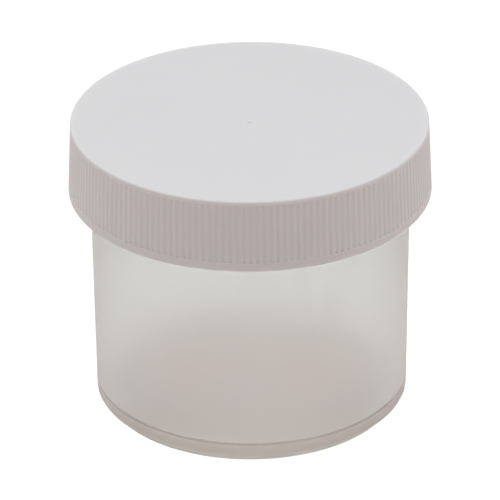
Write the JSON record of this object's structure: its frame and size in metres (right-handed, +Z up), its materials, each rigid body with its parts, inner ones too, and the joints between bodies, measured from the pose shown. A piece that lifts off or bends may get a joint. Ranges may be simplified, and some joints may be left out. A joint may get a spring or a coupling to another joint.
{
  "type": "screw-cap jar",
  "caption": "Small straight-sided translucent plastic jar with a wide, low, finely ribbed white screw cap and a foam liner.",
  "frame": {"origin": "centre of the ring that the jar stands on", "axes": "+Z up along the jar's axis, out through the cap"},
  "size_m": [0.0564, 0.0564, 0.0476],
  "materials": {
    "jar": "natural translucent polypropylene, injection moulded, satin, milky when looked through",
    "cap": "white polypropylene, injection moulded, satin",
    "liner": "closed-cell polyethylene foam, matt"
  },
  "bodies": {
    "jar": {"jar": "jar"},
    "liner": {"liner": "liner"},
    "cap": {"cap": "cap"}
  },
  "joints": [
    {"name": "cap_lift", "type": "slide", "parent": "jar", "child": "liner", "axis": [0, 0, 1], "range_m": [0, 0.0128]},
    {"name": "cap_turn", "type": "hinge", "parent": "liner", "child": "cap", "pos_m": [0, 0, 0.0462], "axis": [0, 0, 1], "range_deg": [0, 1080]}
  ],
  "couplings": [
    {"joint": "cap_lift", "follows": "cap_turn", "m_per_rad": 0.00067376}
  ]
}
